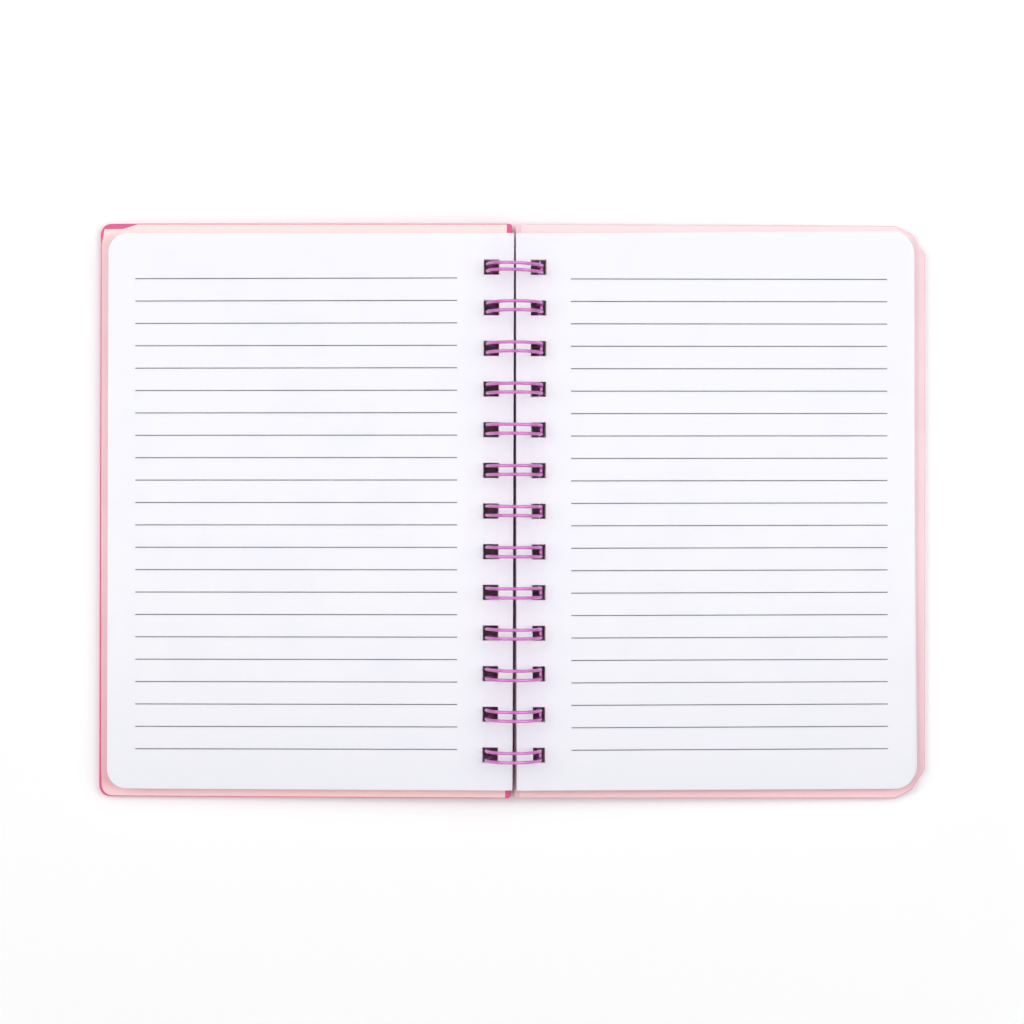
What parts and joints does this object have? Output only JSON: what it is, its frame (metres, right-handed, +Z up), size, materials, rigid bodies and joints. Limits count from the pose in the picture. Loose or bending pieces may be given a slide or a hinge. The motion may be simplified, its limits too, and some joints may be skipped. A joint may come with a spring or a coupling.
{
  "type": "wire-bound notebook",
  "caption": "Open notebook lying flat: two rigid covers and two stacks of ruled sheets hinged on one coated twin-loop wire.",
  "frame": {"origin": "on the table under the loops' common axis, half way along the spine", "axes": "+X across the opening towards the back cover's fore edge, +Y along the spine towards the head of the pages, +Z up from the table, the way the open pages face"},
  "size_m": [0.2604, 0.1804, 0.0184],
  "materials": {
    "wire_coating": "glossy orchid pink coating on steel wire",
    "greyboard": "raw grey bookbinding board",
    "front_cover_paper": "smooth hot pink covering paper, satin",
    "front_lining_paper": "smooth pale pink paper, matt",
    "back_cover_paper": "smooth pale pink covering paper, satin",
    "back_lining_paper": "smooth pale pink paper, matt",
    "page_paper": "uncoated white writing paper, matt"
  },
  "bodies": {
    "back_cover": {"back_board": "greyboard", "back_wrap": "back_cover_paper", "back_endpaper": "back_lining_paper", "twin_loop_wire": "wire_coating"},
    "front_cover": {"front_board": "greyboard", "front_wrap": "front_cover_paper", "front_endpaper": "front_lining_paper"},
    "left_sheets": {"left_pages": "page_paper"},
    "right_sheets": {"right_pages": "page_paper"}
  },
  "joints": [
    {"name": "front_cover_hinge", "type": "hinge", "parent": "back_cover", "child": "front_cover", "pos_m": [0, 0, 0.00916], "axis": [0, 1, 0], "range_deg": [0, 183.16]},
    {"name": "left_sheets_hinge", "type": "hinge", "parent": "back_cover", "child": "left_sheets", "pos_m": [0, 0, 0.00916], "axis": [0, 1, 0], "range_deg": [0, 183.16]},
    {"name": "right_sheets_hinge", "type": "hinge", "parent": "back_cover", "child": "right_sheets", "pos_m": [0, 0, 0.00916], "axis": [0, -1, 0], "range_deg": [0, 183.16]}
  ],
  "couplings": [
    {"joint": "left_sheets_hinge", "follows": "front_cover_hinge", "ratio": 1}
  ]
}
